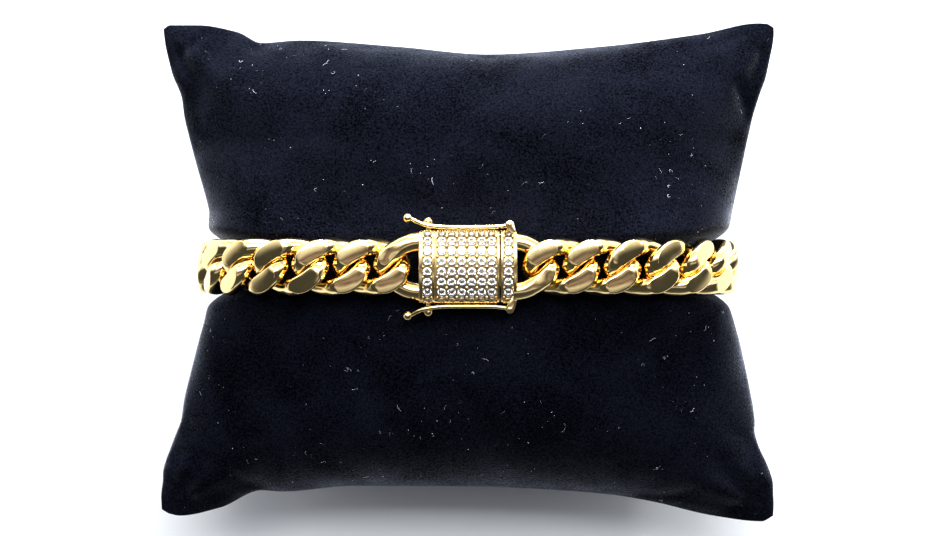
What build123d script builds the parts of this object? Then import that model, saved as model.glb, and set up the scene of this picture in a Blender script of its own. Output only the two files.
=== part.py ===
from build123d import *
from collections import namedtuple
from math import atan2, cos, degrees, pi, radians, sin, sqrt
import os

os.makedirs("parts", exist_ok=True)

# A cuban link bracelet closed round a small display pillow that lies on its back.
# Lengths are in millimetres. +X runs along the front of the bracelet, +Y across it, and +Z
# is up, away from the table. The origin is on the table, under the middle of the pillow.

# The chain's links
link_length = 10.85
link_width = 8.0
link_thickness = 4.0  # over the flats that are cut on the front and the back
wire = 2.35
link_pitch = 5.86
link_count = 31
tip_lean = 49.0  # degrees between the wire and the chain's plane at a link's two tips
side_lean = 63.0  # and at the middle of its two long sides
arc_share = 2.0  # reach of a link's tip arc against its side arc

# The loop of the chain: a straight front and back, joined by two half rounds
loop_radius = 19.0
chain_offset = 0.4  # how far the chain lies above the pillow's middle

# The clasp
clasp_length = 14.0
clasp_half_width = 5.2
clasp_crown = 2.8  # its rims rise this far from the chain's centre plane
clasp_base = -2.2  # and its back lies this far behind it
crown_radius = 11.0
shoulder_radius = 1.6
heel_radius = 0.6
field_inset = 0.2  # the fields of stones lie this far below the rims
left_link_inset = 0.95  # middle of the left half link, out from the clasp's end
right_link_inset = 0.5
arm_share = 0.82  # share of the tip arc after which a half link's arms run straight
weld = 0.3  # the arms are let this far into the end walls
seam = 0.2
box_wall_x = 1.4  # closed end of the box
cavity_half_width = 3.3
cavity_floor = -1.5
cavity_roof = 0.75
tongue_half_width = 2.8
leaf = 0.5
tongue_rise = 0.9  # how far the sprung upper leaf stands open at its free end

# Bands of the clasp's face, from its left end: a rim is as high as the crown
Band = namedtuple("Band", "width is_field is_groove")
box_bands = [
    Band(0.55, False, False),
    Band(1.30, True, False),
    Band(0.40, False, False),
    Band(0.25, False, True),
    Band(8.65, True, False),
    Band(0.35, False, False),
]
cap_bands = [
    Band(0.35, False, False),
    Band(1.45, True, False),
    Band(0.50, False, False),
]
groove_inset = 0.5

# The stones: round, with a table, eight crown facets and eight pavilion facets
stone = 1.24
table_share = 0.58
crown_height = 0.17
girdle = 0.06
pavilion = 0.47
stone_sink = 0.10  # girdle below the field
seat_play = 0.06
stone_column = 1.43
stone_row = 1.50
stone_rows = 8
main_columns = 6

# The two safety latches
latch_wire = 0.58
latch_reach = 5.87  # its straight run, out from the clasp's middle
latch_spread = 1.03  # its two wires, each side of its middle
latch_level = -0.4  # its middle, from the chain's centre plane
hinge_x = 6.0
hinge_reach = 6.05
knuckle_radius = 0.62
knuckle_half = 1.3
pin_radius = 0.30
pin_play = 0.06
ear = 0.42
ear_play = 0.05
ear_foot_x = 6.74
ear_foot_reach = 4.88
ear_foot = 0.4
bend_start_x = -5.2
bend_end_x = -7.0
bend_end_reach = 6.22
tip_x = -8.7
tip_reach = 7.05
tip_ball = 0.70
bend_radius = 0.8
peg_x = -5.74
peg_reach = 6.50
peg_ball = 0.68
peg_neck = 0.35

# The pillow
pillow_half_width = 48.3
ear_height = 39.0
edge_height = 34.8  # half height in the middle of its top and bottom edges
pillow_back = 24.0  # half thickness towards the table, before it rests flat there
seam_half = 0.6
play = 0.3
groove_play = 0.5
floor_gap = 0.2  # between the table and the chain's back
ear_curve = 2.2  # how late its top and bottom edges rise to the ears
lens_pinch = 1.2  # how sharply its faces pinch in towards the side seams

# The groove that the chain presses into the pillow: shares of half a link's width and thickness
Groove = namedtuple("Groove", "reach depth")
groove_rows = [
    Groove(0.0, -1.0),
    Groove(0.45, -1.0),
    Groove(0.80, -1.0),
    Groove(1.00, -0.60),
    Groove(1.18, -0.05),
]

# The rest of it, from the groove to its top and bottom edges: shares of its half height, half
# width and half thickness to the front and back, and how far it still follows the chain's loop
Row = namedtuple("Row", "height width front back loop")
pillow_rows = [
    Row(0.175, 0.845, 1.0, 0.86, 0.85),
    Row(0.28, 0.866, 1.0, 0.93, 0.55),
    Row(0.42, 0.892, 1.0, 1.0, 0.2),
    Row(0.56, 0.919, 0.97, 0.98, 0.0),
    Row(0.69, 0.945, 0.88, 0.885, 0.0),
    Row(0.80, 0.965, 0.72, 0.715, 0.0),
    Row(0.89, 0.981, 0.51, 0.50, 0.0),
    Row(0.96, 0.993, 0.26, 0.26, 0.0),
    Row(1.0, 1.0, 0.0, 0.0, 0.0),
]
half_columns = 10
velvet_fit = 0.1  # how closely the smooth faces follow those rows

half_thickness = link_thickness / 2
loop_straight = (
    clasp_length
    + left_link_inset
    + right_link_inset
    + (link_count + 1) * link_pitch
    - 2 * pi * loop_radius
) / 4
loop_height = loop_radius + half_thickness + floor_gap
clasp_right = clasp_length / 2
clasp_left = -clasp_right


def on_loop(run, clasp_height=0.0):
    """The place on the chain's loop that lies run along it from the clasp's middle."""
    straight = loop_straight
    half_round = pi * loop_radius
    if run < straight:
        x, turn = run, 0.0
    elif run < straight + half_round:
        turn = (run - straight) / loop_radius
        x = straight + loop_radius * sin(turn)
    elif run < 3 * straight + half_round:
        x, turn = 2 * straight + half_round - run, pi
    elif run < 3 * straight + 2 * half_round:
        turn = (run - 3 * straight) / loop_radius
        x = -straight + loop_radius * sin(turn)
    else:
        x, turn = run - 4 * straight - 2 * half_round, 2 * pi
    height = loop_height + loop_radius * cos(turn)
    return Location((x, chain_offset, height + clasp_height), (0, degrees(turn), 0))


# A quarter of a link's centre line: two arcs from its right tip to the middle of its top,
# leaning back from the chain's plane
half_long = (link_length - wire) / 2
half_wide = (link_width - wire) / 2
tip_point = Vector(half_long, 0, 0)
side_point = Vector(0, half_wide, 0)
tip_way = Vector(0, cos(radians(tip_lean)), -sin(radians(tip_lean)))
side_way = Vector(-cos(radians(side_lean)), 0, sin(radians(side_lean)))


def arc_meeting_point():
    """Where the tip arc runs into the side arc, so that the two share a tangent."""
    chord = side_point - tip_point
    ways = tip_way * arc_share + side_way
    a = ways.dot(ways) - (1 + arc_share) ** 2
    b = -2 * chord.dot(ways)
    c = chord.dot(chord)
    root = sqrt(b * b - 4 * a * c)
    reach = min(r for r in ((-b + root) / (2 * a), (-b - root) / (2 * a)) if r > 0)
    from_tip = tip_point + tip_way * (arc_share * reach)
    from_side = side_point - side_way * reach
    return (from_tip + from_side * arc_share) * (1 / (1 + arc_share))


meeting = arc_meeting_point()
with BuildLine() as link_line:
    tip_arc = TangentArc(tip_point, meeting, tangent=tip_way)
    side_arc = TangentArc(meeting, side_point, tangent=tip_arc % 1)


def bent_wire(arc, share=1.0):
    """Round wire bent along a share of an arc."""
    way, inward = arc % 0, arc.arc_center - arc @ 0
    with BuildPart() as piece:
        with BuildSketch(Plane(origin=arc @ 0, z_dir=way)):
            Circle(wire / 2)
        turn = degrees(share * arc.length / arc.radius)
        revolve(axis=Axis(arc.arc_center, way.cross(inward)), revolution_arc=turn)
    return piece.part


with BuildPart() as link_quarter:
    add(bent_wire(tip_arc))
    add(bent_wire(side_arc))

with BuildPart() as link:
    add(link_quarter.part)
    add(link_quarter.part.rotate(Axis.Y, 180))
    add(link_quarter.part.rotate(Axis.Z, 180))
    add(link_quarter.part.rotate(Axis.X, 180))
    Box(2 * link_length, 2 * link_width, link_thickness, mode=Mode.INTERSECT)

first_link = clasp_right + right_link_inset + link_pitch
for number in range(link_count):
    name = f"link_{number + 1:02d}"
    placed_link = link.part.moved(on_loop(first_link + number * link_pitch))
    placed_link.label = name
    export_step(placed_link, f"parts/{name}.step")


def half_link(middle_to_wall):
    """The right half of a link, its two arms run straight into the clasp's end wall."""
    with BuildPart() as half:
        add(bent_wire(tip_arc, arm_share))
        with BuildSketch(Plane(origin=tip_arc @ arm_share, z_dir=tip_arc % arm_share)):
            Circle(wire / 2)
        extrude(amount=link_length)
        add(half.part.rotate(Axis.X, 180))
        Box(3 * link_length, 3 * link_width, link_thickness, mode=Mode.INTERSECT)
        split(bisect_by=Plane.YZ.offset(-middle_to_wall - weld), keep=Keep.TOP)
    return half.part


# The clasp's outline across its width: a shallow crown, round shoulders and a flat back
shoulder_y = clasp_half_width - shoulder_radius
crown_z = clasp_crown - crown_radius
crown_reach = crown_radius - shoulder_radius
shoulder_z = crown_z + sqrt(crown_reach**2 - shoulder_y**2)
crown_lean = atan2(shoulder_y, shoulder_z - crown_z)


def clasp_outline(inset):
    """The outline with its face, shoulders and sides brought in by inset."""
    crown = crown_radius - inset
    shoulder = shoulder_radius - inset
    side = clasp_half_width - inset
    heel = heel_radius
    top = (0, crown_z + crown)
    knee = (crown * sin(crown_lean), crown_z + crown * cos(crown_lean))
    mid_lean = (crown_lean + pi / 2) / 2
    elbow = (shoulder_y + shoulder * sin(mid_lean), shoulder_z + shoulder * cos(mid_lean))
    with BuildSketch(mode=Mode.PRIVATE) as outline:
        with BuildLine():
            ThreePointArc((-knee[0], knee[1]), top, knee)
            ThreePointArc(knee, elbow, (side, shoulder_z))
            Line((side, shoulder_z), (side, clasp_base + heel))
            RadiusArc((side, clasp_base + heel), (side - heel, clasp_base), heel)
            Line((side - heel, clasp_base), (heel - side, clasp_base))
            RadiusArc((heel - side, clasp_base), (-side, clasp_base + heel), heel)
            Line((-side, clasp_base + heel), (-side, shoulder_z))
            ThreePointArc((-side, shoulder_z), (-elbow[0], elbow[1]), (-knee[0], knee[1]))
        make_face()
    return outline.sketch


def on_field(x, run):
    """The plane that lies on a field of stones, run round the face from its middle."""
    crown = crown_radius - field_inset
    shoulder = shoulder_radius - field_inset
    side = 1 if run > 0 else -1
    lean = min(abs(run) / crown, crown_lean)
    y, z = crown * sin(lean), crown_z + crown * cos(lean)
    past = abs(run) - crown * crown_lean
    if past > 0:
        lean = crown_lean + past / shoulder
        y = shoulder_y + shoulder * sin(lean)
        z = shoulder_z + shoulder * cos(lean)
    normal = (0, side * sin(lean), cos(lean))
    return Plane(origin=(x, side * y, z), x_dir=(1, 0, 0), z_dir=normal)


def band_insets(bands):
    """How far each band lies below the crown."""
    return [field_inset if b.is_field else groove_inset if b.is_groove else 0.0 for b in bands]


def field_middles(bands, start):
    """The middle of each field of stones along the clasp."""
    middles = []
    for band in bands:
        if band.is_field:
            middles.append(start + band.width / 2)
        start += band.width
    return middles


row_runs = [(n - (stone_rows - 1) / 2) * stone_row for n in range(stone_rows)]
column_steps = [(n - (main_columns - 1) / 2) * stone_column for n in range(main_columns)]
box_length = sum(b.width for b in box_bands)
cap_length = sum(b.width for b in cap_bands)
seam_x = clasp_left + box_length
cap_x = seam_x + seam
end_field_x, main_field_x = field_middles(box_bands, clasp_left)
(cap_field_x,) = field_middles(cap_bands, cap_x)
box_seats = [on_field(end_field_x, run).location for run in row_runs]
for step in column_steps:
    box_seats += [on_field(main_field_x + step, run).location for run in row_runs]
cap_seats = [on_field(cap_field_x, run).location for run in row_runs]

with BuildPart() as cut_stone:
    with BuildSketch(Plane.XY.offset(-stone_sink - girdle / 2 - pavilion)):
        RegularPolygon(stone / 20, 8)
    with BuildSketch(Plane.XY.offset(-stone_sink - girdle / 2)):
        RegularPolygon(stone / 2, 8)
    loft()
    with BuildSketch(Plane.XY.offset(-stone_sink - girdle / 2)):
        RegularPolygon(stone / 2, 8)
    extrude(amount=girdle)
    with BuildSketch(Plane.XY.offset(-stone_sink + girdle / 2)):
        RegularPolygon(stone / 2, 8)
    with BuildSketch(Plane.XY.offset(-stone_sink + girdle / 2 + crown_height)):
        RegularPolygon(stone / 2 * table_share, 8)
    loft()

seat_radius = stone / 2 + seat_play
seat_step = -stone_sink - girdle - seat_play
seat_depth = stone_sink + girdle + pavilion + 2 * seat_play
with BuildPart() as seat:
    with BuildSketch(Plane.XZ):
        with BuildLine():
            Polyline(
                (0, field_inset * 2),
                (seat_radius, field_inset * 2),
                (seat_radius, seat_step),
                (seat_radius / 4, -seat_depth),
                (0, -seat_depth),
                close=True,
            )
        make_face()
    revolve(axis=Axis.Z)


def latch_hardware(side):
    """One side's ears and hinge pin, soldered to the cap."""
    hinge_y = side * hinge_reach
    inner = knuckle_half + ear_play
    with BuildPart() as hardware:
        for level in (latch_level + inner, latch_level - inner - ear):
            with BuildSketch(Plane.XY.offset(level)):
                with Locations((hinge_x, hinge_y)):
                    Circle(knuckle_radius)
                with Locations((ear_foot_x, side * ear_foot_reach)):
                    Circle(ear_foot / 2)
                make_hull()
            extrude(amount=ear)
        with Locations((hinge_x, hinge_y, latch_level)):
            Cylinder(pin_radius, 2 * (inner + ear / 2))
    return hardware.part


with BuildPart() as clasp_box:
    start = clasp_left
    for band, inset in zip(box_bands, band_insets(box_bands)):
        with BuildSketch(Plane.YZ.offset(start)):
            add(clasp_outline(inset))
        extrude(amount=band.width)
        start += band.width
    with Locations((clasp_left - left_link_inset, 0, 0)):
        add(half_link(left_link_inset).rotate(Axis.Z, 180))
    with Locations(*box_seats):
        add(seat.part, mode=Mode.SUBTRACT)
    with BuildSketch(Plane.YZ.offset(clasp_left + box_wall_x)):
        with Locations((0, (cavity_floor + cavity_roof) / 2)):
            Rectangle(2 * cavity_half_width, cavity_roof - cavity_floor)
    extrude(amount=box_length, mode=Mode.SUBTRACT)
    for side in (1, -1):
        with Locations((peg_x, side * peg_reach, latch_level)):
            Sphere(peg_ball)
        with BuildSketch(Plane.XZ.offset(-side * (clasp_half_width - wire / 4))):
            with Locations((peg_x, latch_level)):
                Circle(peg_neck)
        extrude(amount=-side * (peg_reach - clasp_half_width))
clasp_box.part.label = "clasp_box"

with BuildPart() as clasp_tongue:
    start = cap_x
    for band, inset in zip(cap_bands, band_insets(cap_bands)):
        with BuildSketch(Plane.YZ.offset(start)):
            add(clasp_outline(inset))
        extrude(amount=band.width)
        start += band.width
    with Locations((clasp_right + right_link_inset, 0, 0)):
        add(half_link(right_link_inset))
    with Locations(*cap_seats):
        add(seat.part, mode=Mode.SUBTRACT)
    fold_x = clasp_left + box_wall_x + 2 * play
    lower = cavity_floor + play
    with BuildSketch(Plane.XZ.offset(-tongue_half_width)):
        with BuildLine():
            Polyline(
                (cap_x + leaf, lower),
                (fold_x, lower),
                (fold_x, lower + 1.2 * leaf),
                (seam_x - 2 * play, lower + 1.2 * leaf + tongue_rise),
                (seam_x - 2 * play, lower + 0.4 * leaf + tongue_rise),
                (fold_x + 2 * leaf, lower + leaf),
                (cap_x + leaf, lower + leaf),
                close=True,
            )
        make_face()
    extrude(amount=2 * tongue_half_width)
    for side in (1, -1):
        add(latch_hardware(side))
clasp_tongue.part.label = "clasp_tongue"

with BuildPart() as box_stones:
    with Locations(*box_seats):
        add(cut_stone.part)

with BuildPart() as cap_stones:
    with Locations(*cap_seats):
        add(cut_stone.part)


def latch(side):
    """A closed wire lever: an eye at the hinge, two runs past the peg and a ball at its tip."""
    with BuildPart() as lever:
        for turn in (1, -1):
            level = latch_level + turn * latch_spread
            with BuildLine() as run:
                FilletPolyline(
                    (hinge_x, side * hinge_reach, level),
                    (hinge_x - 3 * knuckle_radius, side * latch_reach, level),
                    (bend_start_x, side * latch_reach, level),
                    (bend_end_x, side * bend_end_reach, level),
                    (tip_x, side * tip_reach, latch_level),
                    radius=bend_radius,
                )
            with BuildSketch(Plane(origin=run.line @ 0, z_dir=run.line % 0)):
                Circle(latch_wire / 2)
            sweep(path=run.line)
        with Locations((tip_x, side * tip_reach, latch_level)):
            Sphere(tip_ball, rotation=(90, 0, 0))
        with Locations((hinge_x, side * hinge_reach, latch_level)):
            Cylinder(knuckle_radius, 2 * knuckle_half)
            Cylinder(pin_radius + pin_play, 3 * knuckle_half, mode=Mode.SUBTRACT)
    return lever.part


on_front = on_loop(0)
for name, shape in (
    ("clasp_box", clasp_box.part),
    ("clasp_tongue", clasp_tongue.part),
    ("stones_box", box_stones.part),
    ("stones_cap", cap_stones.part),
    ("latch_top", latch(1)),
    ("latch_bottom", latch(-1)),
):
    placed = shape.moved(on_front)
    placed.label = name
    export_step(placed, f"parts/{name}.step")


def cross_section(half_width, half_height, loop, share):
    """A point of a row: share runs from the pillow's middle, 0, to its side seam, 1."""
    rise = half_height - seam_half
    straight = half_width - half_height
    run = share * (straight + half_height * pi / 2)
    turn = max(0.0, (run - straight) / half_height)
    lens = share * pi / 2
    x = loop * (min(run, straight) + half_height * sin(turn))
    x += (1 - loop) * half_width * sin(lens)
    z = loop * cos(turn) + (1 - loop) * max(0.0, cos(lens)) ** lens_pinch
    return x, seam_half + rise * max(0.0, z)


# The clasp and the swing of its latches keep the velvet flat under them
pillow_front = loop_radius + clasp_base - play
swells = {1: pillow_front, -1: pillow_back}


def groove_point(row, way, share, face):
    """A point of the groove: face is 1 on the pillow's front and -1 on its back."""
    reach = loop_radius + row.depth * half_thickness - groove_play
    x, z = cross_section(loop_straight + reach, min(reach, swells[face]), 1.0, share)
    return x, chain_offset + way * row.reach * link_width / 2, z


def pillow_point(row, way, share, face):
    """A point of the pillow past the groove."""
    thickness = row.front if face > 0 else row.back
    half_height = max(seam_half, thickness * swells[face])
    x, z = cross_section(row.width * pillow_half_width, half_height, row.loop, share)
    edge = (x / pillow_half_width) ** ear_curve * row.height
    height = edge_height + (ear_height - edge_height) * edge
    return x, way * row.height * height, z


def pillow_grid(face):
    """Rows of points over one face of the pillow, from its bottom edge to its top edge."""
    half_rows = [(pillow_point, row) for row in pillow_rows]
    lower = [(groove_point, row) for row in groove_rows[1:]] + half_rows
    upper = [(groove_point, row) for row in groove_rows] + half_rows
    shares = [abs(n) / half_columns for n in range(-half_columns, half_columns + 1)]
    rows = []
    for way, halves in ((-1, lower[::-1]), (1, upper)):
        for place, row in halves:
            points = []
            for column, share in enumerate(shares):
                x, y, z = place(row, way, share, face)
                points.append((x if column > half_columns else -x, y, loop_height + face * z))
            rows.append(points)
    return rows


def matching(edge, others):
    """The edge of others that lies nearest to edge."""
    return min(others, key=lambda other: (other.center() - edge.center()).length)


front = Face.make_surface_from_array_of_points(pillow_grid(1), tol=velvet_fit)
back = Face.make_surface_from_array_of_points(pillow_grid(-1), tol=velvet_fit)
walls = [
    Face.make_surface_from_curves(edge, matching(edge, back.edges())) for edge in front.edges()
]
with BuildPart() as pillow:
    add(Solid(Shell([front, back, *walls])))
    split(bisect_by=Plane.XY, keep=Keep.TOP)
pillow.part.label = "pillow"
export_step(pillow.part, "parts/pillow.step")
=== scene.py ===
import math  # noqa: E402

import bmesh  # noqa: E402
import bpy  # noqa: E402
import numpy as np  # noqa: E402
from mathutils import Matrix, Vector  # noqa: E402


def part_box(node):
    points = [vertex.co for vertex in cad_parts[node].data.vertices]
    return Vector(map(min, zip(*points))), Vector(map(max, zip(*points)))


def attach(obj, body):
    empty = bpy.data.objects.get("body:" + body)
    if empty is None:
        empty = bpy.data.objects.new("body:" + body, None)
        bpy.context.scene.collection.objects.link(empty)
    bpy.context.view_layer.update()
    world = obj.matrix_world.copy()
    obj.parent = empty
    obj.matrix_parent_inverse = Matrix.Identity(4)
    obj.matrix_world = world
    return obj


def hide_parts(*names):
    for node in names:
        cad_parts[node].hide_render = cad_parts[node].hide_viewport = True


bl_info = {
    "name": "Cuban link bracelet on a display pillow",
    "version": (1, 0, 0),
    "blender": (4, 5, 0),
    "location": "View3D > Sidebar > Bracelet",
    "description": "Dresses the bracelet, its clasp and its velvet pillow for a picture",
    "category": "Object",
}

# Everything is in metres. +X runs along the front of the bracelet, +Y across it, +Z up.
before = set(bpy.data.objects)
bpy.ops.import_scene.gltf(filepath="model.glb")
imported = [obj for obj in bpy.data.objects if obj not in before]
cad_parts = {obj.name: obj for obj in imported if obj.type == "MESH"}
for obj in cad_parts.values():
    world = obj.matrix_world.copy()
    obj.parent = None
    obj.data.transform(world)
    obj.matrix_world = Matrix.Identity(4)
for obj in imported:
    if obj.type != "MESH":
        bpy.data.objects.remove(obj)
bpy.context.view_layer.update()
MM = 0.001
BODY = "bracelet"

# The chain's loop, read from the frame apart from its radius
LINKS = sorted(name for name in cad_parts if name.startswith("link_"))
LINK_BOXES = np.array([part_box(name) for name in LINKS])
LINK_MIDDLES = LINK_BOXES.mean(axis=1)
THICKNESS = float(LINK_BOXES[0, 1, 2] - LINK_BOXES[0, 0, 2])
PITCH = float(LINK_MIDDLES[1, 0] - LINK_MIDDLES[0, 0])
FIRST = float(LINK_MIDDLES[0, 0])
LAST = float(LINK_MIDDLES[-1, 0])
LOOP_RADIUS = 19.0 * MM
LOOP_LENGTH = FIRST + (len(LINKS) - 1) * PITCH - LAST
LOOP_STRAIGHT = (LOOP_LENGTH - 2 * math.pi * LOOP_RADIUS) / 4
LOOP_TOP = float(LINK_MIDDLES[0, 2])
LOOP_MIDDLE = LOOP_TOP - LOOP_RADIUS
CHAIN_Y = float(LINK_MIDDLES[0, 1])
CLASP_MIDDLE = np.array([0, CHAIN_Y, LOOP_TOP])


def linear(code):
    """An sRGB hex colour as linear RGB."""
    parts = [int(code[n : n + 2], 16) / 255 for n in (1, 3, 5)]
    return tuple(p / 12.92 if p <= 0.04045 else ((p + 0.055) / 1.055) ** 2.4 for p in parts)


# Sizes and colours that a user can change


def a_length(name, description, default):
    return bpy.props.FloatProperty(name=name, description=description, default=default, unit="LENGTH")


def an_angle(name, description, degrees):
    return bpy.props.FloatProperty(
        name=name, description=description, default=math.radians(degrees), subtype="ANGLE"
    )


def an_amount(name, description, default):
    return bpy.props.FloatProperty(name=name, description=description, default=default)


def a_colour(name, description, code):
    return bpy.props.FloatVectorProperty(
        name=name, description=description, default=linear(code), subtype="COLOR", size=3
    )


class ChainSizes(bpy.types.PropertyGroup):
    link_length: a_length("Link length", "Length of one link", 11.6 * MM)
    link_width: a_length("Link width", "Width of the chain", 8.5 * MM)
    wire: a_length("Wire", "Thickness of the links' wire", 2.8 * MM)
    pitch: a_length("Pitch", "From one link to the next", PITCH)
    first: a_length("First link", "From the clasp's middle to the first whole link", FIRST)
    tip_lean: an_angle("Tip lean", "Angle of the wire out of the chain's plane at a link's tips", 53)
    side_lean: an_angle("Side lean", "Angle of the wire out of the chain's plane at its sides", 45)
    arc_share: an_amount("Arc share", "Reach of the tip arc against the side arc", 3.0)
    rim: a_length("Rim", "Rounding of the flats' rims", 0.30 * MM)
    flat_lean: an_angle("Flat lean", "How far the flats fall away towards the chain's edges", 4)
    swell: a_length("Swell", "How far a flat's middle is left above its rims", 0.05 * MM)


class ClaspSizes(bpy.types.PropertyGroup):
    half_width: a_length("Half width", "Half the clasp's width", 5.2 * MM)
    crown: a_length("Crown", "Rims above the chain's plane", 2.8 * MM)
    crown_radius: a_length("Crown radius", "Bow of the clasp's face", 11.0 * MM)
    shoulder: a_length("Shoulder radius", "Rounding of its sides", 1.6 * MM)
    base: a_length("Base", "Its back below the chain's plane", 2.2 * MM)
    bed: a_length("Bed", "Floor between the stones below the rims", 0.62 * MM)
    edge: a_length("Edge", "Rounding of the rims' edges", 0.10 * MM)
    stone: a_length("Stone", "Stones' diameter", 1.26 * MM)
    stone_sink: a_length("Stone sink", "Stones' girdles below the rims", 0.26 * MM)
    bead: a_length("Bead", "Radius of the beads that hold them", 0.27 * MM)
    row: a_length("Row pitch", "Between rows of stones", 1.50 * MM)
    column: a_length("Column pitch", "Between columns of stones", 1.43 * MM)
    rows: bpy.props.IntProperty(name="Rows", description="Rows of stones", default=8)


class LatchSizes(bpy.types.PropertyGroup):
    wire: a_length("Lever wire", "Thickness of the levers' wire", 0.64 * MM)
    spread: a_length("Spread", "Each wire from its lever's middle", 1.03 * MM)
    level: a_length("Level", "The levers below the chain's plane", 0.4 * MM)
    tip: a_length("Tip ball", "Radius of the ball at a lever's tip", 0.72 * MM)
    peg: a_length("Peg ball", "Radius of the ball that it snaps over", 0.70 * MM)
    knuckle: a_length("Knuckle", "Radius of the hinge's eye", 0.62 * MM)


class PillowLooks(bpy.types.PropertyGroup):
    gathers: a_length("Gathers", "Depth of the folds at its ears", 0.55 * MM)
    puckers: a_length("Puckers", "Depth of the waves along its seams", 0.28 * MM)
    dents: a_length("Dents", "Depth of the soft dents in its faces", 0.45 * MM)
    specks: an_amount("Specks", "Specks of lint per square metre", 170000.0)
    fibres: an_amount("Fibres", "Curled fibres per square metre", 62000.0)


class Colours(bpy.types.PropertyGroup):
    gold: a_colour("Gold", "Gold plating", "#F8DA98")
    velvet: a_colour("Velvet", "Velvet's ground", "#05060B")
    pile: a_colour("Pile", "Light on the pile", "#9BA1B0")
    stone: a_colour("Stone", "Stones", "#FDFDFF")
    lint: a_colour("Lint", "Lint on the velvet", "#D9DBE2")
    floor: a_colour("Floor", "Table top", "#EEF1F4")


def chain_sizes():
    return bpy.context.scene.bracelet_chain


def clasp_sizes():
    return bpy.context.scene.bracelet_clasp


def latch_sizes():
    return bpy.context.scene.bracelet_latches


def pillow_looks():
    return bpy.context.scene.bracelet_pillow


def colours():
    return bpy.context.scene.bracelet_colours


# Small helpers


def feed(tree, node, inputs):
    """Fills a node's inputs; each is either a value or a socket to link from."""
    for key, value in inputs.items():
        if isinstance(value, bpy.types.NodeSocket):
            tree.links.new(value, node.inputs[key])
        else:
            node.inputs[key].default_value = value


def add_node(tree, kind, inputs=None, **settings):
    """Adds a node with its settings, and feeds its inputs."""
    node = tree.nodes.new(kind)
    for name, value in settings.items():
        setattr(node, name, value)
    feed(tree, node, inputs or {})
    return node


def in_scene(name, data):
    """A new object that holds the data, linked into the scene."""
    item = bpy.data.objects.new(name, data)
    bpy.context.scene.collection.objects.link(item)
    return item


def mesh_object(name, points, faces, smooth=True):
    """A mesh object from points and faces, with its normals turned outwards."""
    mesh = bpy.data.meshes.new(name)
    mesh.from_pydata([tuple(map(float, p)) for p in points], [], faces)
    shape = bmesh.new()
    shape.from_mesh(mesh)
    bmesh.ops.recalc_face_normals(shape, faces=shape.faces)
    shape.to_mesh(mesh)
    shape.free()
    for face in mesh.polygons:
        face.use_smooth = smooth
    return in_scene(name, mesh)


def finish_piece(piece, body=BODY, nodes=()):
    """Lets a piece ride on its body and stand for its CAD nodes, which it hides."""
    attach(piece, body)
    if nodes:
        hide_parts(*nodes)


def ramp(value, low, high):
    """0 below low, 1 above high, and smooth between."""
    t = np.clip((value - low) / (high - low), 0, 1)
    return t * t * (3 - 2 * t)


# Laying one thing many times


def laying_tree(name, sockets):
    """A Geometry Nodes tree for a thing and its material, with its inputs' sockets."""
    tree = bpy.data.node_groups.new(name, "GeometryNodeTree")
    tree.interface.new_socket("Geometry", in_out="OUTPUT", socket_type="NodeSocketGeometry")
    sockets = {"Geometry": "Geometry", "Thing": "Object", "Material": "Material", **sockets}
    for label, kind in sockets.items():
        tree.interface.new_socket(label, in_out="INPUT", socket_type="NodeSocket" + kind)
    return tree, tree.nodes.new("NodeGroupInput").outputs


def end_tree(tree, given, places):
    """Ends a tree: its thing set on every place, made real and given its material."""
    thing = add_node(tree, "GeometryNodeObjectInfo", {"Object": given["Thing"]})
    inputs = {"Instance": thing.outputs["Geometry"], **places}
    laid = add_node(tree, "GeometryNodeInstanceOnPoints", inputs)
    real = add_node(tree, "GeometryNodeRealizeInstances", {"Geometry": laid.outputs[0]})
    inputs = {"Geometry": real.outputs[0], "Material": given["Material"]}
    dressed = add_node(tree, "GeometryNodeSetMaterial", inputs)
    add_node(tree, "NodeGroupOutput", {"Geometry": dressed.outputs[0]})
    return tree


def lay(name, thing, ground, tree, material, **values):
    """Lays the thing on its ground by the tree, and keeps only the plain mesh that this gives."""
    modifier = ground.modifiers.new(tree.name, "NODES")
    modifier.node_group = tree
    values = {"Thing": thing, "Material": material, **values}
    for socket in tree.interface.items_tree:
        if socket.in_out == "INPUT" and socket.name in values:
            modifier[socket.identifier] = values[socket.name]
    graph = bpy.context.evaluated_depsgraph_get()
    mesh = bpy.data.meshes.new_from_object(ground.evaluated_get(graph))
    if not mesh.polygons:
        raise RuntimeError(f"{name} came out empty")
    mesh.name = name
    mesh.materials.clear()
    mesh.materials.append(material)
    bpy.data.objects.remove(ground)
    bpy.data.objects.remove(thing)
    return in_scene(name, mesh)


# Materials


def made_once(mix):
    """The material that a function mixes and is named for, made the first time it is used."""

    def material():
        if mix.__name__ not in bpy.data.materials:
            made = bpy.data.materials.new(mix.__name__)
            made.use_nodes = True
            mix(made.node_tree, made.node_tree.nodes["Principled BSDF"])
        return bpy.data.materials[mix.__name__]

    return material


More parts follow.
